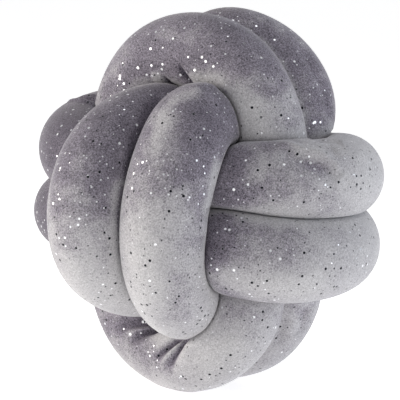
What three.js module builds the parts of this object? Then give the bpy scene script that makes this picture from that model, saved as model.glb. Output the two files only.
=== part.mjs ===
import * as THREE from 'three';

// Knot cushion: one long stuffed velvet tube, led twice round each of three crossing loops and
// drawn tight into a ball (a two-turn monkey's fist). Both ends of the tube are tucked inside.
// Millimetres, +Z up, front towards -Y, right towards +X. The origin is the middle of the base.

// The tube
const TUBE_RADIUS = 34.2; // plump stretches on the outside of the ball
const SHOULDER_SHARE = 0.98; // of the plump radius, where a strand begins to dive under
const TUCKED_RADIUS = 27; // stretches squeezed under other strands
const TUCKED_OFFSET = 17; // sideways place of the squeezed stretches
const END_ROUNDING = 17; // length over which a closed end rounds off

// The ball
const FLOOR = -151.6; // height of the base, from the middle of the ball
const SETTLE = 1.6; // skin this close above the base settles onto it
const KNOT_MIDDLE = new THREE.Vector3(1.3, 4.7, -FLOOR); // middle of the ball above the base
const CROWN_POWER = 0.71; // below 1 the loops are squarer than an ellipse across their crown
const FLANK_POWER = 0.93; // the same along their flanks
const HALF_LENGTH = { upright: 71.7, arch: 69.9, belt: 66.4 }; // loop middle to a strand's dive
const TUCK_DEPTH_SHARE = 0.95; // of the half length, at the middle of a squeezed stretch

// Pressing of the strands against each other
const SLIT = 1.2; // air left between two strands that touch
const NEAR_STRETCH = 100; // a strand is not pressed by itself within this length
const EDGE_WIDTH = 5; // how gradually a pressed flat rounds into the free skin
const BEND_SHARE = 0.85; // of the bend radius, the most the inside of a bend may fill

// The mesh
const SIDES = 18;
const PLAIN_STEP = 12.5; // section spacing where the skin is smooth
const END_STEP = 4; // section spacing at the rounded ends
const TRACE_STEP = 3; // spacing of the traced middle line
const SMOOTHING_ROUNDS = 16;

const AXIS = {
  '+X': new THREE.Vector3(1, 0, 0),
  '-X': new THREE.Vector3(-1, 0, 0),
  '+Y': new THREE.Vector3(0, 1, 0),
  '-Y': new THREE.Vector3(0, -1, 0),
  '+Z': new THREE.Vector3(0, 0, 1),
  '-Z': new THREE.Vector3(0, 0, -1),
};

// Turns rows of values into objects with named columns.
function table(columns, rows) {
  return rows.map((row) => Object.fromEntries(columns.map((column, k) => [column, row[k]])));
}

// One row per pass of the tube over the outside of the ball, in the order it is led.
// out: side of the ball; run: way it travels; across: sideways axis; reach: distance out;
// offset: sideways place; lean: sideways drift along the run; shift: drift of the crown
// along the run; girth: share of the plump radius; stretch: share of the loop's half length.
const PASSES = table(
  ['name', 'loop', 'out', 'run', 'across', 'reach', 'offset', 'lean', 'shift', 'girth', 'stretch'],
  [
    ['front right', 'upright', '-Y', '-Z', '+X', 111.5, 32.8, -2.1, 0.7, 0.98, 1.1],
    ['back right', 'upright', '+Y', '+Z', '+X', 110.0, 27.0, 0.0, -9.0, 0.95, 1.0],
    ['front left', 'upright', '-Y', '-Z', '+X', 124.6, -27.0, -0.1, 1.2, 0.95, 0.92],
    ['back left', 'upright', '+Y', '+Z', '+X', 113.7, -32.0, 3.0, 1.0, 1.0, 1.0],
    ['top back', 'arch', '+Z', '+X', '+Y', 118.8, 32.1, 7.6, -7.9, 1.02, 1.02],
    ['base front', 'arch', '-Z', '-X', '+Y', 120.8, -30.9, 14.8, -2.5, 0.97, 1.01],
    ['top front', 'arch', '+Z', '+X', '+Y', 117.1, -21.2, -3.4, -2.8, 0.97, 1.0],
    ['base back', 'arch', '-Z', '-X', '+Y', 120.9, 32.8, -0.3, -1.6, 0.99, 0.96],
    ['left lower', 'belt', '-X', '-Y', '+Z', 117.2, -25.3, 5.9, 0.8, 0.99, 0.99],
    ['right lower', 'belt', '+X', '+Y', '+Z', 113.5, -26.6, 2.5, -3.1, 1.05, 1.08],
    ['left upper', 'belt', '-X', '-Y', '+Z', 109.5, 36.8, -11.3, 5.1, 1.04, 1.0],
    ['right upper', 'belt', '+X', '+Y', '+Z', 113.5, 29.8, -0.4, 5.0, 0.96, 0.97],
  ],
);

// Where the tube turns a corner on the outside instead of passing through the ball.
const CORNER_SHARE = 0.95; // of the plump radius
const CORNERS = table(
  ['after', 'x', 'y', 'z'],
  [
    ['back left', -44, 88, 68],
    ['back left', -46, 56, 98],
    ['base back', -70, 50, -90],
    ['base back', -98, 66, -48],
    ['base back', -114, 50, -27],
  ],
);

// A squeezed stretch that runs deeper than the others, to clear the one that crosses it.
const DEEP_TUCK = { after: 'top back', depth: 32 };

// Folds pressed into the skin, one row each: the pass they are on, their half width, how far they
// stand out (a trough is negative), the section spacing they need and the points they run
// through, from the middle of the ball.
const FOLDS = table(
  ['pass', 'width', 'rise', 'spacing', 'path'],
  [
    ['base front', 6, -4, 5, [[-12, -53, -98], [-38.7, -56.8, -106.6]]],
    ['base front', 2.5, 1.5, 5, [[-8, -56, -99], [-35.3, -57.7, -110.6]]],
    ['base front', 4, -5.5, 5, [[-2, -57, -98], [-26, -59.6, -115.4]]],
    ['base front', 4, -6.5, 5, [[29, -69, -97], [21.1, -68, -105.2], [6, -66, -122.3]]],
    ['base front', 2.5, 1.5, 5, [[33, -70, -99], [25, -69.3, -106.2], [10.1, -66.2, -126.2]]],
    ['base front', 4, -5, 5, [[37, -71, -96], [30, -69.9, -103.2], [18.7, -67.3, -126.4]]],
    ['top front', 4, -6, 5, [[1.2, -53.4, 109.8], [3.7, -52.1, 104.5], [12, -48, 94]]],
    ['top front', 6, 3, 5, [[8, -54, 114], [13, -52.7, 105.3], [20, -51, 97]]],
    ['top front', 5, -2.5, 5, [[-6.9, -52.9, 108.1], [-3.5, -50.8, 102.1]]],
    ['top front', 3, -4, 5, [[-14.4, -47.3, 97.8], [-7, -44, 92]]],
    ['top front', 4, 2, 5, [[-26.3, -50.6, 98.6], [-20, -44, 91]]],
    ['left upper', 3.5, 2, 6, [[-120.9, -33.1, 65.9], [-99.3, -37.9, 68.2], [-88, -42, 66]]],
    ['left upper', 4, -3, 6, [[-119.7, -27.9, 67.9], [-103.2, -21.4, 71], [-90, -20, 69]]],
    ['right upper', 7, 3, 8, [[99.3, -48.2, 59.9], [123.2, -38.8, 54.4], [137.1, -30, 43.8]]],
    ['right upper', 8, -4.5, 8, [[108, -54, 53], [122.3, -46.1, 50.6], [136.6, -34.4, 40]]],
    ['top back', 9, -2, 9, [[61.9, 29.1, 124.1], [78.1, 30.2, 105.4], [88.8, 30.1, 78.3]]],
    ['base back', 7, -2, 9, [[77.5, 3.8, -90.6], [72.5, 10.4, -109]]],
    ['base back', 7, -2, 9, [[91.8, 14.4, -79.8], [86, 20.9, -98.3]]],
  ],
);
const FOLD_RANGE = 48; // a fold makes the sections closer together within this distance

// The hidden ends lie this far back along the run, out and across from the middle.
const TUCKED_END = { run: 62, out: 36, across: 33 };

// Degrees round a loop at which the middle line is pinned; the dives start past the shoulder.
const PINS = table(
  ['degrees', 'offsetShare', 'shoulder'],
  [
    [-60, 0.72, true],
    [-30, 1, false],
    [0, 1, false],
    [30, 1, false],
    [60, 0.72, true],
  ],
);

function signedPower(value, power) {
  return Math.sign(value) * Math.abs(value) ** power;
}

// A point given by its distances along the pass's own three axes.
function placed(pass, out, run, across) {
  return new THREE.Vector3()
    .addScaledVector(AXIS[pass.out], out)
    .addScaledVector(AXIS[pass.run], run)
    .addScaledVector(AXIS[pass.across], across);
}

// The pins of one pass over the outside of the ball.
function passPins(pass, cornerBefore, cornerAfter) {
  const pins = [];
  for (const pin of PINS) {
    const cutByCorner = (cornerBefore && pin.degrees < -20) || (cornerAfter && pin.degrees > 40);
    if (cutByCorner) continue;
    const angle = THREE.MathUtils.degToRad(pin.degrees);
    const crown = signedPower(Math.cos(angle), CROWN_POWER);
    const flank = signedPower(Math.sin(angle), FLANK_POWER);
    const inside = Math.sign(pass.offset) * TUCKED_OFFSET * (1 - pin.offsetShare);
    const across = (pass.offset + pass.lean * Math.sin(angle)) * pin.offsetShare + inside;
    const half = HALF_LENGTH[pass.loop] * pass.stretch;
    const run = half * flank + pass.shift * crown;
    const share = pin.shoulder ? SHOULDER_SHARE : 1;
    pins.push({
      point: placed(pass, pass.reach * crown, run, across),
      radius: TUBE_RADIUS * pass.girth * share,
      step: PLAIN_STEP,
      pass: pass.name,
    });
  }
  return pins;
}

// The pins of the whole tube, from one tucked end to the other.
function tubePins() {
  const first = PASSES[0];
  const last = PASSES[PASSES.length - 1];
  const { run, out, across } = TUCKED_END;
  const tucked = { radius: TUCKED_RADIUS, pass: 'tucked' };
  const pins = [{ ...tucked, point: placed(first, out, -run, across), step: END_STEP }];
  PASSES.forEach((pass, k) => {
    const before = k > 0 && CORNERS.some((corner) => corner.after === PASSES[k - 1].name);
    const corners = CORNERS.filter((corner) => corner.after === pass.name);
    pins.push(...passPins(pass, before, corners.length > 0));
    for (const corner of corners) {
      const point = new THREE.Vector3(corner.x, corner.y, corner.z);
      const radius = TUBE_RADIUS * CORNER_SHARE;
      pins.push({ point, radius, step: PLAIN_STEP, pass: 'corner' });
    }
    if (pass === last || corners.length > 0) return;
    const deep = pass.name === DEEP_TUCK.after;
    const depth = deep ? DEEP_TUCK.depth : HALF_LENGTH[pass.loop] * TUCK_DEPTH_SHARE;
    const sides = Math.sign(pass.offset) + Math.sign(PASSES[k + 1].offset);
    const point = placed(pass, 0, depth, (TUCKED_OFFSET * sides) / 2);
    pins.push({ ...tucked, point, step: PLAIN_STEP });
  });
  pins.push({ ...tucked, point: placed(last, out, run, across), step: END_STEP });
  return pins;
}

// The shortest distance from a point to a path of straight pieces.
function distanceToPath(point, path) {
  let shortest = Infinity;
  const nearest = new THREE.Vector3();
  for (let k = 1; k < path.length; k += 1) {
    const from = new THREE.Vector3(...path[k - 1]);
    const piece = new THREE.Line3(from, new THREE.Vector3(...path[k]));
    piece.closestPointToPoint(point, true, nearest);
    shortest = Math.min(shortest, nearest.distanceTo(point));
  }
  return shortest;
}

// How far the folds of a section's pass lift its skin at a point; troughs count below zero.
function foldLift(section, point) {
  let lift = 0;
  for (const fold of FOLDS.filter((row) => row.pass === section.pass)) {
    lift += fold.rise * Math.exp(-((distanceToPath(point, fold.path) / fold.width) ** 2));
  }
  return lift;
}

// Interpolates between two values of the same kind at parameter t from t0 to t1.
function blend(a, b, t0, t1, t) {
  return a.clone().lerp(b, (t - t0) / (t1 - t0));
}

// Centripetal Catmull-Rom curve through the pins, finely traced.
function tracePins(pins) {
  const points = pins.map((pin) => pin.point);
  const count = points.length;
  points.unshift(points[0].clone().multiplyScalar(2).sub(points[1]));
  points.push(points[count].clone().multiplyScalar(2).sub(points[count - 1]));
  const trace = [];
  for (let k = 1; k < count; k += 1) {
    const [p0, p1, p2, p3] = points.slice(k - 1, k + 3);
    const t1 = Math.sqrt(p0.distanceTo(p1));
    const t2 = t1 + Math.sqrt(p1.distanceTo(p2));
    const t3 = t2 + Math.sqrt(p2.distanceTo(p3));
    const pieces = Math.max(2, Math.ceil(p1.distanceTo(p2) / 1.5));
    for (let m = 0; m < pieces; m += 1) {
      const share = m / pieces;
      const t = t1 + (t2 - t1) * share;
      const a1 = blend(p0, p1, 0, t1, t);
      const a2 = blend(p1, p2, t1, t2, t);
      const a3 = blend(p2, p3, t2, t3, t);
      const b1 = blend(a1, a2, 0, t2, t);
      const b2 = blend(a2, a3, t1, t3, t);
      const ease = share * share * (3 - 2 * share);
      const here = pins[k - 1];
      const next = pins[k];
      trace.push({
        point: blend(b1, b2, t1, t2, t),
        radius: here.radius + (next.radius - here.radius) * ease,
        step: here.step + (next.step - here.step) * ease,
        pass: share < 0.5 ? here.pass : next.pass,
      });
    }
  }
  const end = pins[count - 1];
  trace.push({ ...end });
  for (const sample of trace) {
    for (const fold of FOLDS.filter((row) => row.pass === sample.pass)) {
      const near = distanceToPath(sample.point, fold.path) < FOLD_RANGE;
      if (near) sample.step = Math.min(sample.step, fold.spacing);
    }
  }
  return trace;
}

// Samples a trace afresh so that each pace, measured by spacing(sample), is the same.
function resample(trace, spacing) {
  const paces = [0];
  for (let k = 1; k < trace.length; k += 1) {
    const length = trace[k].point.distanceTo(trace[k - 1].point);
    paces.push(paces[k - 1] + length / spacing(trace[k]));
  }
  const total = paces[paces.length - 1];
  const count = Math.round(total);
  const samples = [];
  let k = 1;
  for (let m = 0; m <= count; m += 1) {
    const pace = (total * m) / count;
    while (k < trace.length - 1 && paces[k] < pace) k += 1;
    const share = (pace - paces[k - 1]) / (paces[k] - paces[k - 1]);
    const a = trace[k - 1];
    const b = trace[k];
    samples.push({
      point: a.point.clone().lerp(b.point, share),
      radius: a.radius + (b.radius - a.radius) * share,
      step: a.step + (b.step - a.step) * share,
      pass: share < 0.5 ? a.pass : b.pass,
      along: a.along === undefined ? 0 : a.along + (b.along - a.along) * share,
    });
  }
  return samples;
}

// Evens out small changes of curvature, keeping both ends.
function smoothed(samples) {
  let line = samples;
  for (let round = 0; round < SMOOTHING_ROUNDS; round += 1) {
    line = line.map((sample, k) => {
      if (k === 0 || k === line.length - 1) return sample;
      const middle = line[k - 1].point.clone().add(line[k + 1].point).multiplyScalar(0.5);
      const radius = (line[k - 1].radius + line[k + 1].radius) / 2;
      return {
        point: sample.point.clone().lerp(middle, 0.5),
        radius: (sample.radius + radius) / 2,
        step: (2 * sample.step + line[k - 1].step + line[k + 1].step) / 4,
        pass: sample.pass,
      };
    });
  }
  return line;
}

// The tube's middle line at an even, fine spacing, with the length from its start.
function middleLine() {
  const line = smoothed(resample(tracePins(tubePins()), () => TRACE_STEP));
  line[0].along = 0;
  for (let k = 1; k < line.length; k += 1) {
    line[k].along = line[k - 1].along + line[k].point.distanceTo(line[k - 1].point);
  }
  return line;
}

// Gives each section its direction, bend and two cross axes carried along without twist.
function framed(sections) {
  const last = sections.length - 1;
  let side = new THREE.Vector3(1, 0, 0);
  sections.forEach((section, k) => {
    const before = sections[Math.max(0, k - 1)].point;
    const after = sections[Math.min(last, k + 1)].point;
    section.ahead = after.clone().sub(before).normalize();
    side = side.clone().addScaledVector(section.ahead, -side.dot(section.ahead)).normalize();
    section.side = side;
    section.up = new THREE.Vector3().crossVectors(section.ahead, side);
  });
  sections.forEach((section, k) => {
    const before = sections[Math.max(0, k - 1)];
    const after = sections[Math.min(last, k + 1)];
    const length = after.along - before.along;
    section.bend = after.ahead.clone().sub(before.ahead).divideScalar(length);
  });
  return sections;
}

// How far the skin may stand out from a section towards u before it meets another strand.
function roomTowards(section, u, line) {
  let room = BEND_SHARE / Math.max(u.dot(section.bend), 1e-6);
  const apart = new THREE.Vector3();
  for (const other of line) {
    if (Math.abs(other.along - section.along) < NEAR_STRETCH) continue;
    apart.subVectors(other.point, section.point);
    const facing = u.dot(apart);
    if (facing <= 0) continue;
    const distance = apart.length();
    const powers = distance ** 2 + section.radius ** 2 - other.radius ** 2;
    const wall = powers / (2 * distance) - SLIT / 2;
    room = Math.min(room, (wall * distance) / facing);
  }
  return room;
}

// The smaller of two lengths, rounded where they are nearly equal.
function softLess(a, b) {
  const share = THREE.MathUtils.clamp(0.5 + (b - a) / (2 * EDGE_WIDTH), 0, 1);
  return a * share + b * (1 - share) - EDGE_WIDTH * share * (1 - share);
}

// A point of the skin: plump where it is free, pressed flat where strands or the floor meet it.
function skinPoint(section, angle, line) {
  const u = section.side.clone().multiplyScalar(Math.cos(angle));
  u.addScaledVector(section.up, Math.sin(angle));
  const room = roomTowards(section, u, line);
  const plain = section.point.clone().addScaledVector(u, softLess(section.radius, room));
  const lift = foldLift(section, plain);
  const reach = softLess(section.radius + Math.max(0, lift), room) + Math.min(0, lift);
  const skin = section.point.clone().addScaledVector(u, reach);
  if (skin.z < FLOOR + SETTLE) skin.addScaledVector(u, (FLOOR - skin.z) / u.z);
  return skin;
}

// Rounds the closed ends off.
function roundEnds(sections) {
  const total = sections[sections.length - 1].along;
  for (const section of sections) {
    const left = Math.min(section.along, total - section.along);
    const share = Math.min(1, left / END_ROUNDING);
    section.radius *= Math.sqrt(1 - (1 - share) ** 2);
  }
  return sections;
}

function tubeGeometry() {
  const line = middleLine();
  const sections = framed(roundEnds(resample(line, (sample) => sample.step)));
  const rings = sections.slice(1, -1);
  const points = [sections[0].point, sections[sections.length - 1].point];
  for (const ring of rings) {
    for (let k = 0; k < SIDES; k += 1) points.push(skinPoint(ring, (2 * Math.PI * k) / SIDES, line));
  }
  const faces = [];
  const corner = (ring, side) => 2 + ring * SIDES + (side % SIDES);
  const lastRing = rings.length - 1;
  for (let side = 0; side < SIDES; side += 1) {
    faces.push(0, corner(0, side + 1), corner(0, side));
    faces.push(1, corner(lastRing, side), corner(lastRing, side + 1));
    for (let ring = 0; ring < lastRing; ring += 1) {
      const a = corner(ring, side);
      const b = corner(ring, side + 1);
      const c = corner(ring + 1, side + 1);
      const d = corner(ring + 1, side);
      faces.push(a, b, c, a, c, d);
    }
  }
  const geometry = new THREE.BufferGeometry();
  const coordinates = points.flatMap((point) => point.clone().add(KNOT_MIDDLE).toArray());
  geometry.setAttribute('position', new THREE.Float32BufferAttribute(coordinates, 3));
  geometry.setIndex(faces);
  geometry.computeVertexNormals();
  return geometry;
}

const velvet = new THREE.MeshStandardMaterial({ color: 0xb9b6bb, roughness: 0.85, metalness: 0 });
const tube = new THREE.Mesh(tubeGeometry(), velvet);
tube.name = 'knot_tube';

const group = new THREE.Group();
group.name = 'knot_cushion';
group.add(tube);

export default group;
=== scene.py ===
"""Knot cushion: one plump velvet tube tied into a two-turn monkey's fist ball."""

import logging
import math
from collections.abc import Callable, Sequence
from dataclasses import dataclass, field
from enum import Enum
from typing import NamedTuple

import bmesh
import bpy
import numpy as np
from mathutils import Matrix, Vector


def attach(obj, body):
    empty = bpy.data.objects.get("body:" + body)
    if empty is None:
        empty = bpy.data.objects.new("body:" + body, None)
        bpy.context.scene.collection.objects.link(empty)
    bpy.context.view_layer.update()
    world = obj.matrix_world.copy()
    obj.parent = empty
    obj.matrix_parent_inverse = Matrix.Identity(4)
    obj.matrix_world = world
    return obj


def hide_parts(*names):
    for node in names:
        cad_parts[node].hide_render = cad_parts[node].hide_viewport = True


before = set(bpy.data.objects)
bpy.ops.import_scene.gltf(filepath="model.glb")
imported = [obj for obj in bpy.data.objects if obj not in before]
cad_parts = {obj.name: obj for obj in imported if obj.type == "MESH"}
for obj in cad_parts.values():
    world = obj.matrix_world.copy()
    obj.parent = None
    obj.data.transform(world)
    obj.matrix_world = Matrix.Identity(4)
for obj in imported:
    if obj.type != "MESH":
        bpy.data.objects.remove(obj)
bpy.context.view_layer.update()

log = logging.getLogger("knot_cushion")

MM = 0.001
TURN = 2 * math.pi
# The least slope towards a neighbour that counts, and the room where nothing is in the way.
TINY = 1e-6
FAR = 1e6


class Side(Enum):
    """The sides of the ball, as directions from its middle."""

    LEFT = (-1, 0, 0)
    RIGHT = (1, 0, 0)
    FRONT = (0, -1, 0)
    BACK = (0, 1, 0)
    BASE = (0, 0, -1)
    TOP = (0, 0, 1)

    def vector(self) -> np.ndarray:
        """The direction as an array."""
        return np.array(self.value, float)


class Loop(Enum):
    """The three loops that the tube is led round twice each."""

    UPRIGHT = (71.7, Side.RIGHT)
    ARCH = (69.9, Side.BACK)
    BELT = (66.4, Side.TOP)

    def __init__(self, half_length: float, across: Side) -> None:
        """Sets half the loop's length, in millimetres, and the side that offsets count towards."""
        self.half_length = half_length
        self.across = across


@dataclass(frozen=True)
class OverPass:
    """One pass of the tube over the outside of the ball, in millimetres from its middle.

    The reach is how far out the crown lies. The offset is how far it lies to one side, the lean
    how much more so at the far end, and the shift how far it lies along the run. The girth and
    the stretch are shares of the plump radius and of the loop's half length.
    """

    name: str
    loop: Loop
    out: Side
    run: Side
    reach: float
    offset: float
    lean: float
    shift: float
    girth: float
    stretch: float

    def placed(self, out: float, run: float, across: float) -> np.ndarray:
        """A point given by its distances along the pass's own three axes."""
        axes = ((self.out, out), (self.run, run), (self.loop.across, across))
        return sum(side.vector() * length for side, length in axes)


PASSES = (
    OverPass("front right", Loop.UPRIGHT, Side.FRONT, Side.BASE, 111.5, 32.8, -2.1, 0.7, 0.98, 1.1),
    OverPass("back right", Loop.UPRIGHT, Side.BACK, Side.TOP, 110.0, 27.0, 0.0, -9.0, 0.95, 1.0),
    OverPass("front left", Loop.UPRIGHT, Side.FRONT, Side.BASE, 124.6, -27.0, -0.1, 1.2, 0.95, 0.92),
    OverPass("back left", Loop.UPRIGHT, Side.BACK, Side.TOP, 113.7, -32.0, 3.0, 1.0, 1.0, 1.0),
    OverPass("top back", Loop.ARCH, Side.TOP, Side.RIGHT, 118.8, 32.1, 7.6, -7.9, 1.02, 1.02),
    OverPass("base front", Loop.ARCH, Side.BASE, Side.LEFT, 120.8, -30.9, 14.8, -2.5, 0.97, 1.01),
    OverPass("top front", Loop.ARCH, Side.TOP, Side.RIGHT, 117.1, -21.2, -3.4, -2.8, 0.97, 1.0),
    OverPass("base back", Loop.ARCH, Side.BASE, Side.LEFT, 120.9, 32.8, -0.3, -1.6, 0.99, 0.96),
    OverPass("left lower", Loop.BELT, Side.LEFT, Side.FRONT, 117.2, -25.3, 5.9, 0.8, 0.99, 0.99),
    OverPass("right lower", Loop.BELT, Side.RIGHT, Side.BACK, 113.5, -26.6, 2.5, -3.1, 1.05, 1.08),
    OverPass("left upper", Loop.BELT, Side.LEFT, Side.FRONT, 109.5, 36.8, -11.3, 5.1, 1.04, 1.0),
    OverPass("right upper", Loop.BELT, Side.RIGHT, Side.BACK, 113.5, 29.8, -0.4, 5.0, 0.96, 0.97),
)
PASS_NAMES = np.array([one.name for one in PASSES])
# Marks a stretch of the tube that is tucked inside and belongs to no pass.
NO_PASS = -1

# After these passes the tube turns a corner into the next loop.
CORNERS = {
    "back left": ((-44, 88, 68), (-46, 56, 98)),
    "base back": ((-70, 50, -90), (-98, 66, -48), (-114, 50, -27)),
}
# After this pass the tube is tucked in less deep than its loop asks.
DEEP_TUCKS = {"top back": 32.0}
# The ball's middle, in millimetres from the frame's origin on the floor.
KNOT_MIDDLE = (1.3, 4.7, 151.6)


def lengths(points: np.ndarray) -> np.ndarray:
    """The length of a line of points from its start to each of them."""
    pieces = np.linalg.norm(np.diff(points, axis=0), axis=1)
    return np.concatenate([[0.0], np.cumsum(pieces)])


def eased(share: np.ndarray) -> np.ndarray:
    """A share from 0 to 1 that starts and ends gently."""
    return share * share * (3 - 2 * share)


def resampled(points: np.ndarray, others: Sequence[np.ndarray], step: float) -> list[np.ndarray]:
    """Points and other values taken afresh at an even spacing.

    Args:
        points: the line.
        others: further values at its points.
        step: the spacing wanted.

    Returns:
        The new points, and each of the others at them.
    """
    along = lengths(points)
    at = np.linspace(0, along[-1], round(along[-1] / step) + 1)
    columns = [np.interp(at, along, points[:, k]) for k in range(3)]
    return [np.stack(columns, 1), *(np.interp(at, along, values) for values in others)]


def along_path(
    points: np.ndarray, path: Sequence[Sequence[float]]
) -> tuple[np.ndarray, np.ndarray]:
    """Where points stand beside a path of straight pieces.

    Args:
        points: the points.
        path: the path's corners.

    Returns:
        Each point's distance to the path, and its share of the path's length from the start.
    """
    corners = np.array(path, float)
    reached = lengths(corners)
    best = np.full(points.shape[:-1], np.inf)
    share = np.zeros_like(best)
    for k, (a, b) in enumerate(zip(corners[:-1], corners[1:], strict=True)):
        part = np.clip((points - a) @ (b - a) / ((b - a) @ (b - a)), 0, 1)
        distance = np.linalg.norm(points - a - part[..., None] * (b - a), axis=-1)
        nearer = distance < best
        best = np.where(nearer, distance, best)
        place = (reached[k] + part * (reached[k + 1] - reached[k])) / reached[-1]
        share = np.where(nearer, place, share)
    return best, share


class Fade(Enum):
    """Where a mark on the skin dies out along its path."""

    END = "far end"
    BOTH = "both ends"
    NONE = "nowhere"

    def strength(self, share: np.ndarray) -> np.ndarray:
        """The mark's strength along its path.

        Args:
            share: shares of the path's length, from its start.

        Returns:
            The strength there, from 0 to 1.
        """
        if self is Fade.END:
            return 1 - share**2
        if self is Fade.BOTH:
            return 1 - (2 * share - 1) ** 4
        return np.ones_like(share)


@dataclass(frozen=True)
class Mark:
    """A fold pressed into one pass, or a patch on it where the tone is darker or lighter.

    The width and the rise are in millimetres. The shade is added to the pile's tone: in a fold it
    is painted shade in the trough and painted light on the ridge, and some patches are painted
    shade or light too. The falloff says how sharply the mark ends beyond its width.
    """

    width: float
    rise: float
    shade: float
    fade: Fade
    path: tuple[tuple[float, float, float], ...]
    falloff: float = 1.6

    def strength(self, skin: np.ndarray) -> np.ndarray:
        """The mark's strength at points of the skin, from 0 to 1."""
        distance, share = along_path(skin, self.path)
        return np.exp(-((distance / self.width) ** self.falloff)) * self.fade.strength(share)


# The folds, and after them the tone patches, by the pass that they are on. The folds' shade
# paints shade into their troughs and light onto their ridges.
FOLDS = {
    "base front": (
        Mark(6.5, -6, -0.9, Fade.END, ((-8, -53, -97), (-24, -54.5, -101), (-44, -56.8, -108))),
        Mark(2.0, 3, 0.5, Fade.END, ((-6, -56, -99), (-37, -57.7, -111.5))),
        Mark(3.4, -8, -0.9, Fade.END, ((-2, -57, -98), (-28, -59.6, -118))),
        Mark(3.2, -9, -1.0, Fade.END, ((27, -69, -97), (20, -68, -105.2), (1, -66, -126))),
        Mark(2.2, 3, 0.5, Fade.END, ((31, -70, -99), (24.6, -69.3, -106.2), (7, -66.2, -129))),
        Mark(3.2, -8, -1.0, Fade.END, ((35, -71, -96), (29.2, -69.9, -103.6), (15, -67.3, -132))),
        Mark(4, 2.5, 0.2, Fade.END, ((44, -72, -98), (37, -70, -106), (27, -68, -124))),
    ),
    "top front": (
        Mark(
            1.8, -7, -0.6, Fade.END,
            ((14, -47, 93), (10.6, -50.8, 98.2), (4.2, -52.5, 104.6), (0, -54, 111)),
        ),
        Mark(
            7, 3.5, 0.35, Fade.END,
            ((24, -50, 95), (17.8, -52.8, 100), (10.7, -53.8, 107), (6, -54, 118)),
        ),
        Mark(8, 1.5, -0.1, Fade.END, ((5, -46, 93), (-2, -51, 101), (-8, -53.5, 112))),
        Mark(1.8, -5, -0.5, Fade.END, ((-12, -40, 91), (-14.1, -44, 94.5), (-15.5, -50, 100))),
        Mark(5, 2, 0.25, Fade.END, ((-20, -42, 90), (-22, -48, 97), (-26, -52, 104))),
        Mark(1.8, -3.5, -0.5, Fade.END, ((-26, -40, 89), (-28, -47, 95.5), (-31, -51, 101))),
    ),
    "left upper": (
        Mark(
            2.6, 2.6, 0.1, Fade.BOTH,
            ((-120.9, -33.1, 65.9), (-101, -35.4, 68.2), (-90, -34, 66)),
        ),
        Mark(2.4, -4, -0.25, Fade.BOTH, ((-121, -28, 67.5), (-103.2, -24, 70.5), (-88, -22, 69))),
        Mark(2.4, 2.2, 0.1, Fade.BOTH, ((-118, -20, 68.5), (-103.2, -15, 71), (-88, -14, 69))),
    ),
    "right upper": (
        Mark(
            5, 4, 0.22, Fade.BOTH,
            ((92, -50, 61), (111, -47, 56.8), (122.6, -38, 54.4), (137, -28, 43)),
        ),
        Mark(
            8, -4.5, -0.22, Fade.BOTH,
            ((98, -58, 53), (118, -49, 50), (129.7, -40, 45), (137, -32, 36)),
        ),
        Mark(9, -3, 0.0, Fade.BOTH, ((104, -22, 64), (114, -14, 62), (122, -6, 58))),
        Mark(12, 2.5, 0.0, Fade.BOTH, ((128, -26, 58), (136, -12, 52), (138, 4, 48))),
    ),
    "top back": (
        Mark(
            6, -2.6, -0.1, Fade.BOTH,
            ((58, 28, 127), (71.5, 28.1, 114.8), (86.6, 29.5, 90), (90, 29, 74)),
        ),
    ),
    "base back": (
        Mark(6, -3, -0.1, Fade.BOTH, ((78, 3, -86), (76.7, 5.3, -91), (70, 13, -113))),
        Mark(6, -3, -0.1, Fade.BOTH, ((92, 15, -76), (90, 17.4, -81), (82, 26, -104))),
    ),
    "front right": (
        Mark(5, -3, -0.1, Fade.END, ((67, -96, 6), (58, -104, 3), (48, -112, 6))),
        Mark(11, 2.6, 0.0, Fade.BOTH, ((34, -88, 94), (38, -71, 98), (44, -62, 96))),
        Mark(20, -2.4, 0.0, Fade.NONE, ((52, -54, 96), (60, -55, 84))),
    ),
}
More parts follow.
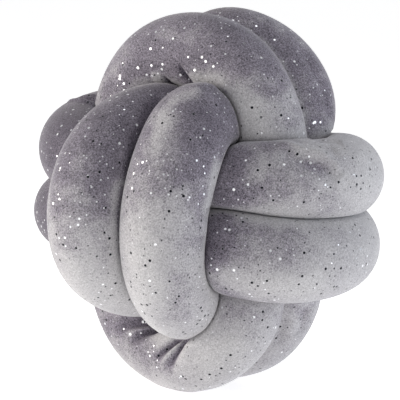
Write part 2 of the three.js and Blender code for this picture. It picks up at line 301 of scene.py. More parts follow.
# Patches where the tone is darker or lighter; those noted below are painted shade or painted light.
TONE_PATCHES_AND_PAINTED_SHADE = {
    "base front": (
        # Painted shadow under the front left pass.
        Mark(24, 0, -0.28, Fade.NONE, ((-57, -51, -106), (-32, -58, -115), (8, -65, -127))),
        Mark(18, 0, -0.12, Fade.NONE, ((-20, -58, -130), (-3, -62, -130), (12, -64, -132))),
        Mark(18, 0, 0.25, Fade.NONE, ((61, -70, -104), (90, -49, -90), (92, -47, -77))),
    ),
    "top front": (
        # Painted light on the inner bend beside the front right pass.
        Mark(10, 0, 0.2, Fade.NONE, ((35, -56, 102), (53, -55, 100), (60, -54, 92))),
        Mark(14, 0, 0.14, Fade.NONE, ((21, -52, 127), (31, -52, 124))),
        # Painted light in the pocket beside the front right pass, where shade falls.
        Mark(11, 0, 0.8, Fade.NONE, ((66, -54, 82), (69, -52, 62))),
        Mark(26, 0, 0.09, Fade.NONE, ((-66, -49, 91), (-49, -50, 112), (0, -54, 125))),
    ),
    "right upper": (
        Mark(14, 0, 0.2, Fade.NONE, ((93, -74, 41), (105, -61, 50))),
        Mark(10, 0, 0.25, Fade.NONE, ((95, -73, 13), (117, -53, 11))),
        # Painted shade beside the front right pass.
        Mark(10, 0, -0.25, Fade.NONE, ((58, -70, 50), (64, -84, 24))),
    ),
    "right lower": (
        Mark(14, 0, 0.35, Fade.NONE, ((87, -91, -42), (109, -76, -46), (131, -55, -43))),
        Mark(14, 0, -0.1, Fade.NONE, ((74, -89, -2), (80, -97, -19))),
        # Painted shade beside the front right pass.
        Mark(9, 0, -0.25, Fade.NONE, ((66, -90, -5), (66, -98, -28))),
        # These two marks are painted light beside the crease with the right upper pass.
        Mark(5, 0, 0.5, Fade.NONE, ((54, -84, 12), (67, -76, 7), (88, -74, 3))),
        Mark(5, 0, 0.3, Fade.BOTH, ((85, -74, 3), (104, -60, 4), (123, -33, 3))),
    ),
    "top back": (
        Mark(25, 0, 0.2, Fade.NONE, ((0, -30, 147), (18, -20, 147), (25, 14, 142))),
    ),
    "front left": (
        Mark(20, 0, 0.2, Fade.NONE, ((-22, -146, -41), (-17, -125, -66))),
        # These two marks are painted shade along the crease with the front right pass.
        Mark(4.5, 0, -0.6, Fade.BOTH, ((-5, -71, 87), (0, -98, 69), (4, -116, 48), (5, -126, 26))),
        Mark(
            2.6, 0, -0.6, Fade.BOTH,
            ((5, -126, 26), (6, -130, 4), (6, -126, -27), (4, -108, -60)),
        ),
    ),
    "front right": (
        Mark(13, 0, 0.5, Fade.NONE, ((32, -124, 64), (26, -109, 81), (34, -92, 93))),
        Mark(18, 0, 0.2, Fade.NONE, ((34, -144, -9), (41, -138, -35), (38, -134, -48))),
        Mark(15, 0, -0.28, Fade.NONE, ((46, -114, -72), (50, -98, -82), (51, -86, -86))),
        Mark(15, 0, 0.12, Fade.NONE, ((49, -121, 62), (45, -128, 54))),
        Mark(6, 0, 0.3, Fade.NONE, ((66, -96, 45), (67, -100, 30), (66, -104, 12))),
    ),
    "left upper": (
        Mark(45, 0, -0.14, Fade.NONE, ((-92, -79, 49), (-110, -50, 60))),
    ),
    "left lower": (
        Mark(45, 0, -0.15, Fade.NONE, ((-115, -71, -12), (-108, -75, -31))),
    ),
}


@dataclass(frozen=True)
class Press:
    """A place where one pass presses into its neighbour, in millimetres."""

    by: str
    into: str
    place: tuple[float, float, float]
    width: float
    depth: float

    def shift(self, own: str, other: np.ndarray, touch: np.ndarray) -> np.ndarray:
        """How far the wall between two passes moves outward.

        Args:
            own: the pass whose wall it is.
            other: the names of the passes beyond the wall.
            touch: the places where they touch.

        Returns:
            The moves, which are negative where the other pass presses in.
        """
        strength = np.exp(-(((touch - self.place) ** 2).sum(axis=1)) / self.width**2)
        if own == self.by:
            return self.depth * strength * (other == self.into)
        if own == self.into:
            return -self.depth * strength * (other == self.by)
        return np.zeros(len(touch))


PRESSES = (
    Press("right lower", "right upper", (58, -82, 8), 34, 4.0),
    Press("right upper", "right lower", (125, -45, 0), 30, 2.2),
    Press("top front", "front right", (60, -58, 74), 22, 4.0),
    Press("front right", "top front", (42, -68, 104), 20, 3.0),
)


class Pin(NamedTuple):
    """A place that the middle line runs through, with its radius and pass number."""

    point: np.ndarray
    radius: float
    owner: int


class Station(NamedTuple):
    """Where a pass has a pin: degrees from its crown, share of its offset, and on a shoulder."""

    degrees: float
    share: float
    shoulder: bool


@dataclass
class Line:
    """A traced middle line: points, plump radius, length from the start and pass number."""

    point: np.ndarray
    radius: np.ndarray
    along: np.ndarray
    owner: np.ndarray


@dataclass
class TubeRoute:
    """The way the tube is led through the knot, in millimetres from the ball's middle.

    A pass is a flattened arch. Its height and its run follow the cosine and the sine of an
    angle, raised to crown_power and flank_power. Between two passes of a loop the tube goes
    inside, where it is thinner, and lies nearer the loop's own plane. The tucked_end gives the
    place of both ends, along the run, outward and across. Next to a corner, a pass has no
    stations before first_after_corner or after last_before_corner, in degrees.
    """

    radius: float = 34.2
    shoulder_share: float = 0.98
    tucked_radius: float = 27.0
    tucked_offset: float = 17.0
    tuck_depth_share: float = 0.95
    corner_share: float = 0.95
    crown_power: float = 0.71
    flank_power: float = 0.93
    tucked_end: tuple[float, float, float] = (62.0, 36.0, 33.0)
    first_after_corner: float = -20.0
    last_before_corner: float = 40.0
    samples: int = 40
    trace_step: float = 3.0
    smoothing_rounds: int = 16
    stations: tuple[Station, ...] = (
        Station(-60, 0.72, True),
        Station(-30, 1, False),
        Station(0, 1, False),
        Station(30, 1, False),
        Station(60, 0.72, True),
    )

    def _over_pins(self, index: int, before: bool, after: bool) -> list[Pin]:
        """The pins of one pass over the outside.

        Args:
            index: the pass's place in PASSES.
            before: whether the tube turned a corner to reach it.
            after: whether it turns a corner when it leaves.

        Returns:
            The pins, in order.
        """
        one = PASSES[index]
        pins = []
        for degrees, share, shoulder in self.stations:
            if before and degrees < self.first_after_corner:
                continue
            if after and degrees > self.last_before_corner:
                continue
            angle = math.radians(degrees)
            sine = math.sin(angle)
            crown = math.cos(angle) ** self.crown_power
            flank = math.copysign(abs(sine) ** self.flank_power, sine)
            inside = math.copysign(self.tucked_offset * (1 - share), one.offset)
            across = (one.offset + one.lean * sine) * share + inside
            run = one.loop.half_length * one.stretch * flank + one.shift * crown
            radius = self.radius * one.girth * (self.shoulder_share if shoulder else 1)
            pins.append(Pin(one.placed(one.reach * crown, run, across), radius, index))
        return pins

    def _tuck(self, one: OverPass, following: OverPass) -> Pin:
        """The pin inside the ball between two passes of a loop.

        Args:
            one: the pass that the tube leaves.
            following: the pass that it goes on to.

        Returns:
            The pin.
        """
        depth = DEEP_TUCKS.get(one.name, one.loop.half_length * self.tuck_depth_share)
        sides = np.sign(one.offset) + np.sign(following.offset)
        point = one.placed(0, depth, self.tucked_offset * sides / 2)
        return Pin(point, self.tucked_radius, NO_PASS)

    def _pins(self) -> list[Pin]:
        """The pins of the whole tube.

        Returns:
            The pins, from one tucked end to the other.
        """
        run, out, across = self.tucked_end
        pins = [Pin(PASSES[0].placed(out, -run, across), self.tucked_radius, NO_PASS)]
        for index, one in enumerate(PASSES):
            before = index > 0 and PASSES[index - 1].name in CORNERS
            corners = CORNERS.get(one.name, ())
            pins += self._over_pins(index, before, bool(corners))
            radius = self.radius * self.corner_share
            pins += [Pin(np.array(corner, float), radius, NO_PASS) for corner in corners]
            if not corners and index < len(PASSES) - 1:
                pins.append(self._tuck(one, PASSES[index + 1]))
        pins.append(Pin(PASSES[-1].placed(out, run, across), self.tucked_radius, NO_PASS))
        return pins

    def _spline(
        self, points: np.ndarray, values: np.ndarray, owners: np.ndarray
    ) -> tuple[np.ndarray, np.ndarray, np.ndarray]:
        """A centripetal Catmull-Rom curve through the pins.

        Args:
            points: the pins' places.
            values: the pins' radii.
            owners: the pins' pass numbers.

        Returns:
            The traced points, radii and pass numbers.
        """
        ends = np.vstack([2 * points[0] - points[1], points, 2 * points[-1] - points[-2]])
        share = np.linspace(0, 1, self.samples, endpoint=False)[:, None]
        ease = eased(share)[:, 0]
        traced, radii, owned = [], [], []
        for k in range(len(points) - 1):
            p0, p1, p2, p3 = ends[k : k + 4]
            t1 = math.sqrt(np.linalg.norm(p1 - p0))
            t2 = t1 + math.sqrt(np.linalg.norm(p2 - p1))
            t3 = t2 + math.sqrt(np.linalg.norm(p3 - p2))
            t = t1 + (t2 - t1) * share
            a1 = p0 + (p1 - p0) * t / t1
            a2 = p1 + (p2 - p1) * (t - t1) / (t2 - t1)
            a3 = p2 + (p3 - p2) * (t - t2) / (t3 - t2)
            b1 = a1 + (a2 - a1) * t / t2
            b2 = a2 + (a3 - a2) * (t - t1) / (t3 - t1)
            traced.append(b1 + (b2 - b1) * (t - t1) / (t2 - t1))
            radii.append(values[k] + (values[k + 1] - values[k]) * ease)
            owned.append(np.where(share[:, 0] < 0.5, owners[k], owners[k + 1]))
        traced.append(points[-1:])
        radii.append(values[-1:])
        owned.append(owners[-1:])
        return np.vstack(traced), np.concatenate(radii), np.concatenate(owned)

    def _even(self, values: np.ndarray) -> np.ndarray:
        """Evens out small changes along the line, keeping both ends.

        Args:
            values: places or radii along the line.

        Returns:
            The evened values.
        """
        values = values.copy()
        for _ in range(self.smoothing_rounds):
            values[1:-1] = values[1:-1] / 2 + (values[:-2] + values[2:]) / 4
        return values

    def line(self) -> Line:
        """Traces the middle line at an even, fine spacing.

        Returns:
            The line.
        """
        columns = [np.array(column) for column in zip(*self._pins(), strict=True)]
        points, *others = self._spline(*columns)
        points, radii, owners = resampled(points, others, self.trace_step)
        points = self._even(points)
        return Line(points, self._even(radii), lengths(points), np.round(owners).astype(int))


@dataclass
class Sections:
    """The tube's fine cross-sections along its middle line, in millimetres.

    Outward holds the directions round each section, and bend the middle line's curvature.
    """

    line: Line
    point: np.ndarray
    radius: np.ndarray
    along: np.ndarray
    owner: np.ndarray
    ahead: np.ndarray
    bend: np.ndarray
    outward: np.ndarray


@dataclass
class Skin:
    """The pressed skin: a row for each section and a column for each direction round it."""

    point: np.ndarray
    tone: np.ndarray
    folded: np.ndarray
    length: float


@dataclass
class KnotTube:
    """The stuffed velvet tube of the knot, pressed against itself and against the base.

    Lengths are in millimetres. The skin is worked out on a fine grid, and the mesh takes all of
    it where the folds lift it by more than smallest_lift, and each row and column number that
    finer divides elsewhere. Two stretches are neighbours from near_stretch apart along the
    tube, and up to neighbour_reach plump radii across. The slit stays open between them, and
    edge_width says how softly the skin turns into a pressed flank. The inner side of a bend may
    take up bend_share of its radius. The tone is painted shade and light for the velvet's sheen,
    darkest where the tube follows painted_shade_run, which points about towards the camera. Painted
    light, by rubbed, makes it lighter where two strands meet, but less so in a dark mark.
    """

    route: TubeRoute = field(default_factory=TubeRoute)
    middle: tuple[float, float, float] = KNOT_MIDDLE
    floor: float = -151.6
    settle: float = 3.0
    least_slope: float = 0.3
    slit: float = 0.25
    near_stretch: float = 100.0
    neighbour_reach: float = 3.4
    edge_width: float = 3.5
    bend_share: float = 0.85
    end_rounding: float = 17.0
    end_sliver: float = 0.05
    step: float = 3.4
    sides: int = 76
    finer: int = 4
    smallest_lift: float = 0.17
    weld: float = 1e-7
    painted_shade_run: tuple[float, float, float] = (0.55, -0.82, 0.17)
    painted_contact_light: float = 0.32
    contact_light_width: float = 6.0
    contact_light_loss: float = 3.0

    @property
    def fine_sides(self) -> int:
        """The number of directions round a section on the fine grid."""
        return self.sides * self.finer

    def _frames(self, point: np.ndarray, along: np.ndarray) -> tuple[np.ndarray, ...]:
        """The directions of each section.

        Args:
            point: the sections' middles.
            along: their lengths from the start.

        Returns:
            The direction ahead, two cross axes carried without twist, and the bend.
        """
        ahead = np.gradient(point, axis=0)
        ahead /= np.linalg.norm(ahead, axis=1)[:, None]
        side = np.zeros_like(point)
        carried = np.array([1.0, 0.0, 0.0])
        for k, direction in enumerate(ahead):
            carried = carried - direction * (carried @ direction)
            carried /= np.linalg.norm(carried)
            side[k] = carried
        bend = np.gradient(ahead, axis=0) / np.gradient(along)[:, None]
        return ahead, side, np.cross(ahead, side), bend

    def _sections(self) -> Sections:
        """Sets the fine sections along the middle line.

        Returns:
            The sections.
        """
        line = self.route.line()
        step = self.step / self.finer
        point, radius, along = resampled(line.point, (line.radius, line.along), step)
        owner = line.owner[np.searchsorted(line.along, along).clip(0, len(line.owner) - 1)]
        ahead, side, up, bend = self._frames(point, along)
        angle = TURN * np.arange(self.fine_sides) / self.fine_sides
        outward = np.cos(angle)[:, None] * side[:, None] + np.sin(angle)[:, None] * up[:, None]
        return Sections(line, point, radius, along, owner, ahead, bend, outward)

    def _room(self, cut: Sections, k: int) -> np.ndarray:
        """How far the skin may stand out from a section before it meets another strand.

        Args:
            cut: the sections.
            k: the section's number.

        Returns:
            The room in each direction.
        """
        line, point, radius = cut.line, cut.point[k], cut.radius[k]
        far = np.abs(line.along - cut.along[k]) >= self.near_stretch
        apart = line.point[far] - point
        distance = np.linalg.norm(apart, axis=1)
        close = distance < self.neighbour_reach * self.route.radius
        apart, distance, other = apart[close], distance[close], line.radius[far][close]
        wall = (distance**2 + radius**2 - other**2) / (2 * distance) - self.slit / 2
        own, beyond = PASS_NAMES[cut.owner[k]], PASS_NAMES[line.owner[far][close]]
        for press in PRESSES:
            wall = wall + press.shift(own, beyond, point + apart / 2)
        facing = (cut.outward[k] @ apart.T) / distance
        room = np.where(facing > TINY, wall / np.maximum(facing, TINY), FAR)
        return room.min(axis=1, initial=FAR)

    def _plump(self, cut: Sections) -> np.ndarray:
        """The free radius of the sections, rounded off at both ends of the tube.

        Args:
            cut: the sections.

        Returns:
            The radius in each direction.
        """
        left = np.minimum(cut.along, cut.along[-1] - cut.along)
        left = left.clip(self.end_sliver, self.end_rounding)
        rounding = np.sqrt(1 - (1 - left / self.end_rounding) ** 2)
        return np.repeat((cut.radius * rounding)[:, None], self.fine_sides, axis=1)

    def _soft_less(self, a: np.ndarray, b: np.ndarray) -> np.ndarray:
        """The smaller of two lengths, rounded where they are nearly equal."""
        share = np.clip(0.5 + (b - a) / (2 * self.edge_width), 0, 1)
        return a * share + b * (1 - share) - self.edge_width * share * (1 - share)

    def _marked(self, skin: np.ndarray, owner: np.ndarray) -> tuple[np.ndarray, np.ndarray]:
        """Applies the marks of each section's pass.

        Args:
            skin: the plain skin.
            owner: the pass that each section belongs to.

        Returns:
            How far the folds lift each point, and how much the marks change its tone, which
            paints shade and light into the folds and some patches.
        """
        lift, shade = np.zeros((2, *skin.shape[:-1]))
        for index, name in enumerate(PASS_NAMES):
            rows = np.where(owner == index)[0]
            for mark in FOLDS.get(name, ()) + TONE_PATCHES_AND_PAINTED_SHADE.get(name, ()):
                strength = mark.strength(skin[rows])
                lift[rows] += mark.rise * strength
                shade[rows] += mark.shade * strength
        return lift, shade

    def _settled(self, height: np.ndarray, upward: np.ndarray) -> np.ndarray:
        """How far the skin moves outward to settle on the floor.

        Args:
            height: its heights.
            upward: the upright part of its directions outward.

        Returns:
            The move outward, which is negative where the floor pushes the skin in.
        """
        above = (height - self.floor).clip(0, self.settle)
        flattened = above**2 * (2 * self.settle - above) / self.settle**2
        wanted = np.where(height - self.floor < self.settle, self.floor + flattened - height, 0)
        steepest = -self.least_slope
        return np.where(upward < steepest, wanted / np.minimum(upward, steepest), 0)

    def _tone(self, cut: Sections, shade: np.ndarray, gap: np.ndarray) -> np.ndarray:
        """How light the pile is painted: painted shade and light for its sheen, its marks, and
        painted light where strands meet.

        Args:
            cut: the sections.
            shade: how much the marks change the tone.
            gap: how far the plump skin stays clear of the next strand.

        Returns:
            The tone, about 0 where the pile looks dark and 1 where it looks light.
        """
        # Painted shade and light for the velvet's sheen: darkest where the tube runs about towards
        # the camera.
        along_shade_run = np.repeat((cut.ahead @ np.array(self.painted_shade_run))[:, None], self.fine_sides, axis=1)
        tone = 0.5 - 0.5 * along_shade_run + shade
        # Painted light where two strands meet, lifting the shade there, weaker in a dark mark.
        painted_contact_light = self.painted_contact_light * np.clip(1 + self.contact_light_loss * shade, 0, 1)
        return tone + painted_contact_light * np.exp(-((gap.clip(0) / self.contact_light_width) ** 2))

    def _skin(self) -> Skin:
        """Presses the plump skin against its neighbours, its folds and the floor.

        Returns:
            The skin.
        """
        cut = self._sections()
        free = np.stack([self._room(cut, k) for k in range(len(cut.point))])
        inner = np.einsum("ksi,ki->ks", cut.outward, cut.bend)
        room = np.minimum(free, self.bend_share / np.maximum(inner, TINY))
        plump = self._plump(cut)
        plain = cut.point[:, None] + cut.outward * self._soft_less(plump, room)[..., None]
        lift, shade = self._marked(plain, cut.owner)
        reach = self._soft_less(plump + np.maximum(0, lift), room) + np.minimum(0, lift)
        point = cut.point[:, None] + cut.outward * reach[..., None]
        point = point + cut.outward * self._settled(point[..., 2], cut.outward[..., 2])[..., None]
        tone = self._tone(cut, shade, free - plump)
        return Skin(point, tone, np.abs(lift) > self.smallest_lift, cut.along[-1])

    def _cell(self, place: Vector, rows: int) -> tuple[int, int]:
        """Finds a place of the flat grid on the fine grid.

        Args:
            place: the place, from -0.5 to 0.5 both ways.
            rows: the flat grid's rows.

        Returns:
            The fine row and column.
        """
        row = round((place.x + 0.5) * rows * self.finer)
        column = round((place.y + 0.5) * self.fine_sides)
        return row, column % self.fine_sides

    def _refine(self, bm: bmesh.types.BMesh, folded: np.ndarray, rows: int) -> None:
        """Divides the faces of the flat grid that carry folds.

        Args:
            bm: the flat grid.
            folded: where the skin is folded, on the fine grid.
            rows: the flat grid's rows.
        """
        edges = set()
        for face in bm.faces:
            if folded[self._cell(face.calc_center_median(), rows)]:
                edges.update(edge for edge in face.edges if not edge.is_boundary)
        cuts = self.finer - 1
        bmesh.ops.subdivide_edges(bm, edges=list(edges), cuts=cuts, use_grid_fill=True)
        log.info("%d edges divided for the folds", len(edges))

    def _wrap(self, bm: bmesh.types.BMesh, skin: Skin, rows: int) -> None:
        """Wraps the flat grid round the tube and gives each vertex its tone, with its painted
        shade and light.

        Args:
            bm: the flat grid.
            skin: the skin that it takes the shape of.
            rows: the flat grid's rows.
        """
        tone_and_painted_shade = bm.verts.layers.float["tone_and_painted_shade"]
        place = (skin.point + np.array(self.middle)) * MM
        for vert in bm.verts:
            row, column = self._cell(vert.co, rows)
            vert.co = place[row, column]
            vert[tone_and_painted_shade] = skin.tone[row, column]

    def _close(self, bm: bmesh.types.BMesh) -> None:
        """Welds the tube along its length, closes both ends and turns the faces outwards.

        Args:
            bm: the wrapped grid.
        """
        bmesh.ops.remove_doubles(bm, verts=bm.verts, dist=self.weld)
        rims = [edge for edge in bm.edges if edge.is_boundary]
        ends = bmesh.ops.holes_fill(bm, edges=rims, sides=self.sides)["faces"]
        bmesh.ops.triangulate(bm, faces=ends)
        bmesh.ops.recalc_face_normals(bm, faces=bm.faces)

    def _lay_strip(self, bm: bmesh.types.BMesh, length: float) -> None:
        """Gives the UV map the real size of the cloth strip, and shades the faces smoothly.

        Args:
            bm: the closed tube.
            length: the tube's length in metres.
        """
        strand = bm.loops.layers.uv["strand"]
        girth = TURN * self.route.radius * MM
        for face in bm.faces:
            face.smooth = True
            for loop in face.loops:
                loop[strand].uv = (loop[strand].uv.x * length, loop[strand].uv.y * girth)

    def build(self) -> bpy.types.Object:
        """Makes the tube as one closed mesh.

        Returns:
            The cushion's object, at the origin.
        """
        skin = self._skin()
        length = skin.length * MM
        rows = (len(skin.point) - 1) // self.finer
        bm = bmesh.new()
        bm.loops.layers.uv.new("strand")
        bm.verts.layers.float.new("tone_and_painted_shade")
        bmesh.ops.create_grid(bm, x_segments=rows, y_segments=self.sides, size=0.5, calc_uvs=True)
        self._refine(bm, skin.folded, rows)
        self._wrap(bm, skin, rows)
        self._close(bm)
        self._lay_strip(bm, length)
        mesh = bpy.data.meshes.new("knot_tube_velvet")
        bm.to_mesh(mesh)
        bm.free()
        cushion = bpy.data.objects.new("knot_tube_velvet", mesh)
        bpy.context.collection.objects.link(cushion)
        log.info("tube: %.2f m long, %d faces", length, len(mesh.polygons))
        return cushion


class Sock:
    """A node's output, with arithmetic that adds the nodes it needs."""

    def __init__(self, sheet: "NodeSheet", socket: bpy.types.NodeSocket | None) -> None:
        """Wraps an output socket of a sheet of nodes."""
        self.sheet = sheet
        self.socket = socket

    def _math(self, operation: str, *values: object) -> "Sock":
        """A Math node over two values."""
        inputs = dict(enumerate(values))
        return self.sheet.add("ShaderNodeMath", {"operation": operation}, inputs)

    def __add__(self, other: object) -> "Sock":
        """This plus other."""
        return self._math("ADD", self, other)

    __radd__ = __add__

    def __sub__(self, other: object) -> "Sock":
        """This minus other."""
        return self._math("SUBTRACT", self, other)

    def __rsub__(self, other: object) -> "Sock":
        """Other minus this."""
        return self._math("SUBTRACT", other, self)

    def __mul__(self, other: object) -> "Sock":
        """This times other."""
        return self._math("MULTIPLY", self, other)

    __rmul__ = __mul__

    def most(self, other: object) -> "Sock":
        """The larger of this and other."""
        return self._math("MAXIMUM", self, other)

    def below(self, limit: object) -> "Sock":
        """1 where this is below a limit, else 0."""
        return self._math("LESS_THAN", self, limit)

    def ramp(self, start: object, end: object, low: object = 0.0, high: object = 1.0) -> "Sock":
        """Goes smoothly from low at start to high at end, and stays there beyond.

        Args:
            start: the value at which the change starts.
            end: the value at which it ends.
            low: the result before the start.
            high: the result after the end.

        Returns:
            The eased value.
        """
        inputs = {"Value": self, "From Min": start, "From Max": end, "To Min": low, "To Max": high}
        return self.sheet.add("ShaderNodeMapRange", {"interpolation_type": "SMOOTHSTEP"}, inputs)


class NodeSheet:
    """The nodes of one material."""

    def __init__(self, name: str) -> None:
        """Starts a material with an empty sheet of nodes.

        Args:
            name: the material's name.
        """
        self.material = bpy.data.materials.new(name)
        self.material.use_nodes = True
        self.tree = self.material.node_tree
        self.tree.nodes.clear()

    def add(self, kind: str, settings: dict, inputs: dict, output: str | int = 0) -> Sock:
        """Adds a node.

        Args:
            kind: the node's type.
            settings: its settings, which are set first.
            inputs: values or links by socket name or number.
            output: the output wanted, by name or number.

        Returns:
            That output, which is empty on a node with no outputs.
        """
        node = self.tree.nodes.new(kind)
        for name, value in settings.items():
            if name == "stops":
                self._stops(node, value)
            else:
                setattr(node, name, value)
        for name, value in inputs.items():
            socket = node.inputs[name]
            if isinstance(value, Sock):
                self.tree.links.new(value.socket, socket)
            else:
                socket.default_value = value
        return Sock(self, node.outputs[output] if len(node.outputs) else None)

    @staticmethod
    def _stops(node: bpy.types.Node, stops: Sequence[tuple[float, tuple]]) -> None:
        """Sets the stops of a colour ramp.

        Args:
            node: the ramp.
            stops: rows of position and colour.
        """
        elements = node.color_ramp.elements
        while len(elements) < len(stops):
            elements.new(0.5)
        for element, (position, colour) in zip(elements, stops, strict=True):
            element.position = position
            element.color = (*colour, 1)

    def mixed(self, share: object, a: object, b: object) -> Sock:
        """Mixes two colours.

        Args:
            share: 0 for the first colour, 1 for the second.
            a: the first colour.
            b: the second colour.

        Returns:
            The mixed colour.
        """
        a, b = ((*colour, 1) if isinstance(colour, tuple) else colour for colour in (a, b))
        return self.add("ShaderNodeMix", {"data_type": "RGBA"}, {0: share, 6: a, 7: b}, 2)

    def scaled(self, colour: Sock, by: Sock) -> Sock:
        """A colour made lighter or darker."""
        return self.add("ShaderNodeVectorMath", {"operation": "SCALE"}, {0: colour, "Scale": by})

    def shifted(self, place: Sock, by: tuple[float, float, float]) -> Sock:
        """Coordinates moved by a vector."""
        return self.add("ShaderNodeVectorMath", {"operation": "ADD"}, {0: place, 1: by})

    def finished(self, surface: dict) -> bpy.types.Material:
        """Adds the surface shader and the output.

        Args:
            surface: the shader's values or links, by socket name.

        Returns:
            The finished material.
        """
        shader = self.add("ShaderNodeBsdfPrincipled", {}, surface)
        self.add("ShaderNodeOutputMaterial", {}, {"Surface": shader})
        return self.material


@dataclass(frozen=True)
class Mottle:
    """Uneven patches on the pile, at so many features a metre."""

    scale: float
    detail: float
    roughness: float = 0.5
    distortion: float = 0.0
    shift: tuple[float, float, float] | None = None

    def value(self, sheet: NodeSheet, place: Sock) -> Sock:
        """The patches at the object's coordinates.

        Args:
            sheet: the material's nodes.
            place: the coordinates in metres.

        Returns:
            A value from 0 to 1.
        """
        inputs = {
            "Vector": sheet.shifted(place, self.shift) if self.shift else place,
            "Scale": self.scale,
            "Detail": self.detail,
            "Roughness": self.roughness,
            "Distortion": self.distortion,
        }
        return sheet.add("ShaderNodeTexNoise", {}, inputs, "Fac")


@dataclass(frozen=True)
class FoilDots:
    """Round foil dots printed on the pile, in metres.

    The amount is the share of places that carry a dot where the dots lie thickest. Between
    the clusters it drops to thin_share of that. A dot is full up to solid_share of its radius.
    """

    spacing: float
    radius: float
    amount: float
    clusters: float
    shift: tuple[float, float, float]
    thin_share: float = 0.3
    thin_below: float = 0.38
    thick_above: float = 0.62
    solid_share: float = 0.72

    def mask(self, sheet: NodeSheet, place: Sock) -> tuple[Sock, Sock]:
        """Where the dots are.

        Args:
            sheet: the material's nodes.
            place: the object's coordinates in metres.

        Returns:
            The dots' mask, and a random value for each dot.
        """
        at = sheet.shifted(place, self.shift)
        cells = {"Vector": at, "Scale": 1 / self.spacing, "Randomness": 1.0}
        near = sheet.add("ShaderNodeTexVoronoi", {}, cells, "Distance")
        drawn = sheet.add("ShaderNodeTexVoronoi", {}, cells, "Color")
        first = sheet.add("ShaderNodeSeparateColor", {}, {"Color": drawn}, "Red")
        second = sheet.add("ShaderNodeSeparateColor", {}, {"Color": drawn}, "Green")
        density = Mottle(1 / self.clusters, 1.0).value(sheet, at)
        thin = self.amount * self.thin_share
        chosen = second.below(density.ramp(self.thin_below, self.thick_above, thin, self.amount))
        size = self.radius / self.spacing
        return near.ramp(size * self.solid_share, size, 1.0, 0.0) * chosen, first


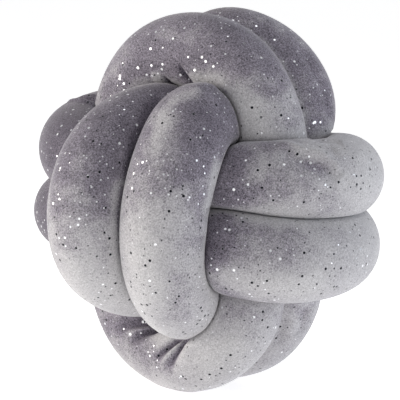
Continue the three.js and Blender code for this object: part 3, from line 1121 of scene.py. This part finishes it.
@dataclass(frozen=True)
class DottedVelvet:
    """Pale grey velvet, with painted shade and light in its tone, and scattered foil dots with
    painted reflections.

    The pairs that end in over are the values at the dark and the light end of tone_span.
    """

    shades: tuple[tuple[float, tuple[float, float, float]], ...] = (
        (0.0, (0.115, 0.101, 0.128)),
        (0.36, (0.212, 0.192, 0.228)),
        (0.66, (0.415, 0.400, 0.420)),
        (1.0, (0.505, 0.492, 0.502)),
    )
    broad: Mottle = Mottle(16, 3.0, 0.55, 0.6)
    broad_amount: float = 0.75
    smudge: Mottle = Mottle(48, 4.0, 0.68, shift=(0.2, 0.5, 0.1))
    smudge_amount: float = 0.8
    grain: Mottle = Mottle(820, 2.0, 0.85)
    tone_span: tuple[float, float] = (0.2, 0.9)
    speckle_over: tuple[float, float] = (4.2, 1.6)
    # The share of foil dots with a painted dark reflection, at the dark and the light end of the
    # tone span.
    dark_reflection_over: tuple[float, float] = (0.3, 0.75)
    reflection_edge: float = 0.02
    large: FoilDots = FoilDots(0.0060, 0.0013, 0.75, 0.035, (0.0, 0.0, 0.0))
    small: FoilDots = FoilDots(0.0044, 0.0008, 0.7, 0.028, (0.31, 0.17, 0.07))
    small_strength: float = 0.85
    faint: FoilDots = FoilDots(0.0047, 0.0010, 0.8, 0.04, (0.11, 0.47, 0.23))
    faint_strength: float = 0.35
    faint_colour: tuple[float, float, float] = (0.06, 0.055, 0.065)
    # Painted dark and bright reflections, as colours of the foil dots' metal.
    dark_foil_reflection: tuple[float, float, float] = (0.012, 0.012, 0.016)
    bright_foil_reflection: tuple[float, float, float] = (0.95, 0.95, 0.98)
    pile_roughness: float = 0.9
    foil_roughness: float = 0.28
    foil_metal: float = 0.9
    grain_strength: float = 0.5
    grain_height: float = 0.0006
    gloss: float = 0.2
    sheen: float = 0.5
    sheen_roughness: float = 0.35
    sheen_tint: tuple[float, float, float] = (0.95, 0.94, 0.96)

    def _tone(self, sheet: NodeSheet, place: Sock) -> Sock:
        """How light the pile looks: the mesh's tone, with its painted shade and light, and random
        patches.

        Args:
            sheet: the material's nodes.
            place: the object's coordinates in metres.

        Returns:
            The tone, about 0 where the pile looks dark and 1 where it looks light.
        """
        broad = self.broad.value(sheet, place)
        smudge = self.smudge.value(sheet, place)
        # The mesh's tone, painted shade and light included.
        tone_and_painted_shade = sheet.add("ShaderNodeAttribute", {"attribute_name": "tone_and_painted_shade"}, {}, "Fac")
        return tone_and_painted_shade + (broad - 0.5) * self.broad_amount + (smudge - 0.5) * self.smudge_amount

    def _pile(self, sheet: NodeSheet, place: Sock, tone: Sock, grain: Sock) -> Sock:
        """The colour of the pile between the foil dots.

        Args:
            sheet: the material's nodes.
            place: the object's coordinates in metres.
            tone: how light the pile looks.
            grain: its fine grain.

        Returns:
            The colour.
        """
        plain = sheet.add("ShaderNodeValToRGB", {"stops": self.shades}, {"Fac": tone}, "Color")
        speckle = tone.ramp(*self.tone_span, *self.speckle_over)
        speckled = sheet.scaled(plain, 1 + (grain - 0.5) * speckle)
        dull, _ = self.faint.mask(sheet, place)
        return sheet.mixed(dull * self.faint_strength, speckled, self.faint_colour)

    def _foil(self, sheet: NodeSheet, place: Sock, tone: Sock) -> tuple[Sock, Sock]:
        """The large and small foil dots, each with a painted bright or dark reflection, chosen at
        random and dark more often where the pile is lighter.

        Args:
            sheet: the material's nodes.
            place: the object's coordinates in metres.
            tone: how light the pile looks.

        Returns:
            The dots' mask and their colour.
        """
        large, drawn_large = self.large.mask(sheet, place)
        small, drawn_small = self.small.mask(sheet, place)
        # More dots get a painted dark reflection where the pile is lighter.
        dark = tone.ramp(*self.tone_span, *self.dark_reflection_over)
        large_bright_reflection = (drawn_large - dark).ramp(-self.reflection_edge, self.reflection_edge) * large
        small_bright_reflection = (drawn_small - dark).ramp(-self.reflection_edge, self.reflection_edge) * (1 - large)
        foil = sheet.mixed(large_bright_reflection + small_bright_reflection, self.dark_foil_reflection, self.bright_foil_reflection)
        return large.most(small * self.small_strength), foil

    def material(self) -> bpy.types.Material:
        """Makes the velvet.

        Returns:
            The material.
        """
        sheet = NodeSheet("dotted_velvet")
        place = sheet.add("ShaderNodeTexCoord", {}, {}, "Object")
        grain = self.grain.value(sheet, place)
        tone = self._tone(sheet, place)
        mask, foil = self._foil(sheet, place, tone)
        relief = {"Strength": self.grain_strength, "Distance": self.grain_height, "Height": grain}
        surface = {
            "Base Color": sheet.mixed(mask, self._pile(sheet, place, tone, grain), foil),
            "Roughness": mask.ramp(0, 1, self.pile_roughness, self.foil_roughness),
            "Metallic": mask * self.foil_metal,
            "Normal": sheet.add("ShaderNodeBump", {}, relief, "Normal"),
            "Specular IOR Level": self.gloss,
            "Sheen Weight": self.sheen,
            "Sheen Roughness": self.sheen_roughness,
            "Sheen Tint": (*self.sheen_tint, 1),
        }
        return sheet.finished(surface)


@dataclass(frozen=True)
class PaleFloor:
    """A matt white floor that glows a little."""

    colour: tuple[float, float, float] = (0.9, 0.9, 0.9)
    roughness: float = 0.9
    glow: float = 0.6

    def material(self) -> bpy.types.Material:
        """Makes the floor's finish.

        Returns:
            The material.
        """
        surface = {
            "Base Color": (*self.colour, 1),
            "Roughness": self.roughness,
            "Emission Color": (1, 1, 1, 1),
            "Emission Strength": self.glow,
        }
        return NodeSheet("pale_floor").finished(surface)


@dataclass(frozen=True)
class Softbox:
    """A square softbox: its place and size in metres, power in watts and tint."""

    name: str
    place: tuple[float, float, float]
    power: float
    tint: tuple[float, float, float]
    size: float = 1.0

    def hang(self, aim: Vector) -> bpy.types.Object:
        """Hangs the softbox so that it faces a point.

        Args:
            aim: the point, in metres.

        Returns:
            The light.
        """
        data = bpy.data.lights.new(self.name, "AREA")
        data.shape = "SQUARE"
        data.size = self.size
        data.energy = self.power
        data.color = self.tint
        light = bpy.data.objects.new(self.name, data)
        facing = (aim - Vector(self.place)).to_track_quat("-Z", "Y")
        light.matrix_world = Matrix.Translation(self.place) @ facing.to_matrix().to_4x4()
        bpy.context.collection.objects.link(light)
        return light


@dataclass
class Studio:
    """A plain pale floor, soft lights and the camera.

    The camera looks at the ball's middle, in millimetres, and turns in degrees. Its centre is
    where that middle lies in the frame, in pixels.
    """

    middle: tuple[float, float, float] = KNOT_MIDDLE
    azimuth: float = 31.9
    elevation: float = 9.15
    roll: float = 3.93
    distance: float = 1536.0
    pixels_per_mm: float = 1.233
    centre: tuple[float, float] = (206.46, 197.06)
    frame_pixels: int = 400
    sensor: float = 36.0
    floor_reach: float = 12.0
    floor_finish: PaleFloor = PaleFloor()
    surroundings: tuple[float, float, float] = (0.985, 0.99, 1)
    surroundings_strength: float = 0.44
    softboxes: tuple[Softbox, ...] = (
        Softbox("left", (-1.3, -0.93, 0.3), 22, (1.0, 0.955, 0.88)),
        Softbox("right", (1.41, 0.76, 0.3), 10, (0.80, 0.89, 1.0)),
        Softbox("overhead", (0.0, 0.0, 1.8), 4.5, (0.95, 0.97, 1.0)),
    )

    def floor(self) -> bpy.types.Object:
        """Makes the floor.

        Returns:
            The floor's object.
        """
        bm = bmesh.new()
        bmesh.ops.create_grid(bm, x_segments=1, y_segments=1, size=self.floor_reach)
        mesh = bpy.data.meshes.new("studio_floor")
        bm.to_mesh(mesh)
        bm.free()
        floor = bpy.data.objects.new("studio_floor", mesh)
        bpy.context.collection.objects.link(floor)
        mesh.materials.append(self.floor_finish.material())
        return floor

    def _axes(self) -> tuple[Vector, Vector, Vector]:
        """Works out the camera's axes.

        Returns:
            Its right, up and backward directions.
        """
        turn, rise, tilt = (math.radians(a) for a in (self.azimuth, self.elevation, self.roll))
        flat = Vector((math.sin(turn), -math.cos(turn), 0))
        back = flat * math.cos(rise) + Vector((0, 0, math.sin(rise)))
        right = Vector((math.cos(turn), math.sin(turn), 0))
        up = back.cross(right)
        rolled = right * math.cos(tilt) + up * math.sin(tilt)
        return rolled, up * math.cos(tilt) - right * math.sin(tilt), back

    def camera(self) -> bpy.types.Object:
        """Makes the camera and sets it as the scene's.

        Returns:
            The camera's object.
        """
        data = bpy.data.cameras.new("camera")
        pixels = self.pixels_per_mm * self.distance
        data.sensor_width = self.sensor
        data.lens = pixels * self.sensor / self.frame_pixels
        half = self.frame_pixels / 2
        data.shift_x = -(self.centre[0] - half) / self.frame_pixels
        data.shift_y = (self.centre[1] - half) / self.frame_pixels
        right, up, back = self._axes()
        place = (Vector(self.middle) + back * self.distance) * MM
        camera = bpy.data.objects.new("camera", data)
        turned = Matrix((right, up, back)).transposed().to_4x4()
        camera.matrix_world = Matrix.Translation(place) @ turned
        bpy.context.collection.objects.link(camera)
        bpy.context.scene.camera = camera
        return camera

    def lights(self) -> None:
        """Sets the pale surroundings and hangs the softboxes."""
        world = bpy.data.worlds.new("studio")
        world.use_nodes = True
        background = world.node_tree.nodes["Background"]
        background.inputs["Color"].default_value = (*self.surroundings, 1)
        background.inputs["Strength"].default_value = self.surroundings_strength
        bpy.context.scene.world = world
        bpy.context.scene.view_settings.view_transform = "Standard"
        for softbox in self.softboxes:
            softbox.hang(Vector(self.middle) * MM)

    def build(self) -> None:
        """Makes the camera, the floor and the lights."""
        self.camera()
        self.floor()
        self.lights()


def report(name: str, make: Callable[[], bpy.types.Object]) -> bpy.types.Object:
    """Makes a piece and logs it.

    Args:
        name: what the piece is.
        make: what makes it.

    Returns:
        The piece.
    """
    piece = make()
    log.info("%s: %s", name, piece.name)
    return piece


def main() -> None:
    """Builds the studio and the cushion, and says what the cushion is."""
    logging.basicConfig(level=logging.INFO, format="%(name)s: %(message)s")
    Studio().build()
    cushion = report("cushion", KnotTube().build)
    cushion.data.materials.append(DottedVelvet().material())
    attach(cushion, "root")
    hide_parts("knot_tube")


if __name__ == "__main__":
    main()
